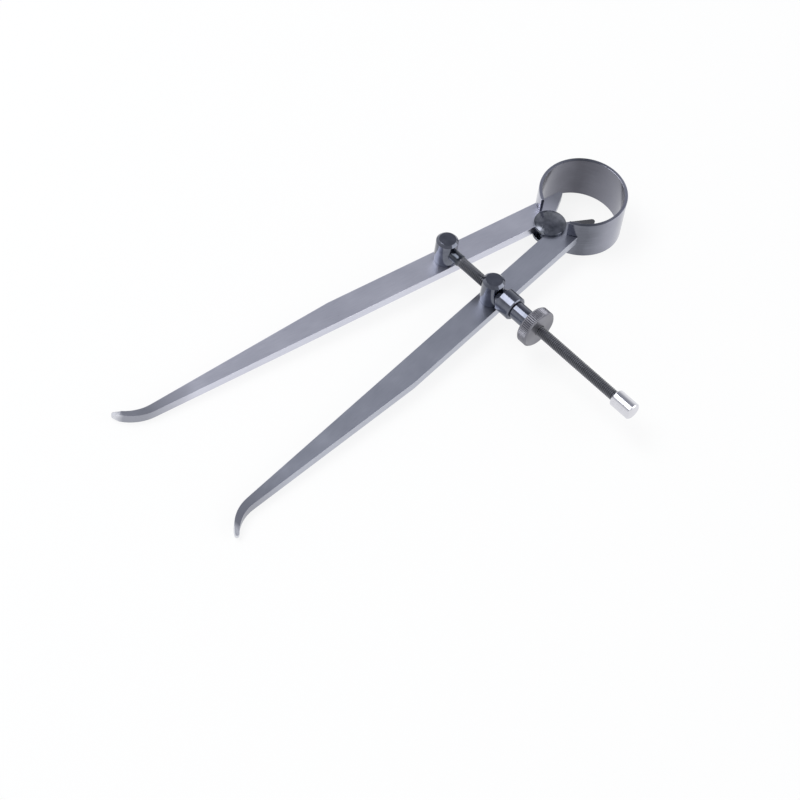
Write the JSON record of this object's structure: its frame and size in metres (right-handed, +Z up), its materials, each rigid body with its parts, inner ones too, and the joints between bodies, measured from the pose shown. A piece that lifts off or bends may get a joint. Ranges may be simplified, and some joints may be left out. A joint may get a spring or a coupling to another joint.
{
  "type": "inside spring caliper",
  "caption": "Inside spring caliper: two hooked steel legs rocking on a fulcrum stud under a round bow spring, set by a nut on a swivelling screw.",
  "frame": {"origin": "middle of the bounding box, on the lower edge of the bow spring", "axes": "+Y along the caliper from its tips to its bow, +Z up through the posts, +X along the screw towards its cap"},
  "size_m": [0.0946, 0.1746, 0.0198],
  "materials": {
    "leg_steel": "satin ground steel",
    "spring_steel": "satin tempered spring steel",
    "black_oxide": "glossy black oxide on turned steel",
    "screw_steel": "dark oiled thread",
    "bright_steel": "bright turned steel",
    "nut_steel": "dark turned steel with a knurled rim"
  },
  "bodies": {
    "left_leg": {"left_leg": "leg_steel", "bow_spring": "spring_steel"},
    "fulcrum": {"fulcrum_stud": "black_oxide"},
    "right_leg": {"right_leg": "leg_steel"},
    "screw": {"screw_post": "black_oxide", "screw_post_washer": "black_oxide", "adjusting_screw": "screw_steel", "end_cap": "bright_steel"},
    "nut_post": {"nut_post": "black_oxide", "nut_post_washer": "black_oxide", "thrust_collar": "black_oxide"},
    "nut": {"adjusting_nut": "nut_steel"}
  },
  "joints": [
    {"name": "leg_hinge", "type": "hinge", "parent": "left_leg", "child": "right_leg", "pos_m": [-0.02037, 0.06053, 0.0076], "axis": [0, 0, 1], "range_deg": [-15.5, 39], "deforming": ["bow_spring"]},
    {"name": "fulcrum_turn", "type": "hinge", "parent": "left_leg", "child": "fulcrum", "pos_m": [-0.02037, 0.06053, 0.0076], "axis": [0, 0, 1], "range_deg": [-8, 20]},
    {"name": "screw_swivel", "type": "hinge", "parent": "left_leg", "child": "screw", "pos_m": [-0.03022, 0.026, 0.0076], "axis": [0, 0, 1], "range_deg": [-8, 20]},
    {"name": "nut_post_swivel", "type": "hinge", "parent": "right_leg", "child": "nut_post", "pos_m": [-0.01052, 0.026, 0.0076], "axis": [0, 0, 1], "range_deg": [-20, 8]},
    {"name": "nut_spin", "type": "hinge", "parent": "nut_post", "child": "nut", "pos_m": [-0.01052, 0.026, 0.0137], "axis": [1, 0, 0], "range_deg": [-5700, 14200]}
  ],
  "couplings": [
    {"joint": "fulcrum_turn", "follows": "leg_hinge", "ratio": 0.5},
    {"joint": "screw_swivel", "follows": "leg_hinge", "ratio": 0.5},
    {"joint": "nut_post_swivel", "follows": "leg_hinge", "ratio": -0.5},
    {"joint": "nut_spin", "follows": "leg_hinge", "ratio": 361.53}
  ]
}
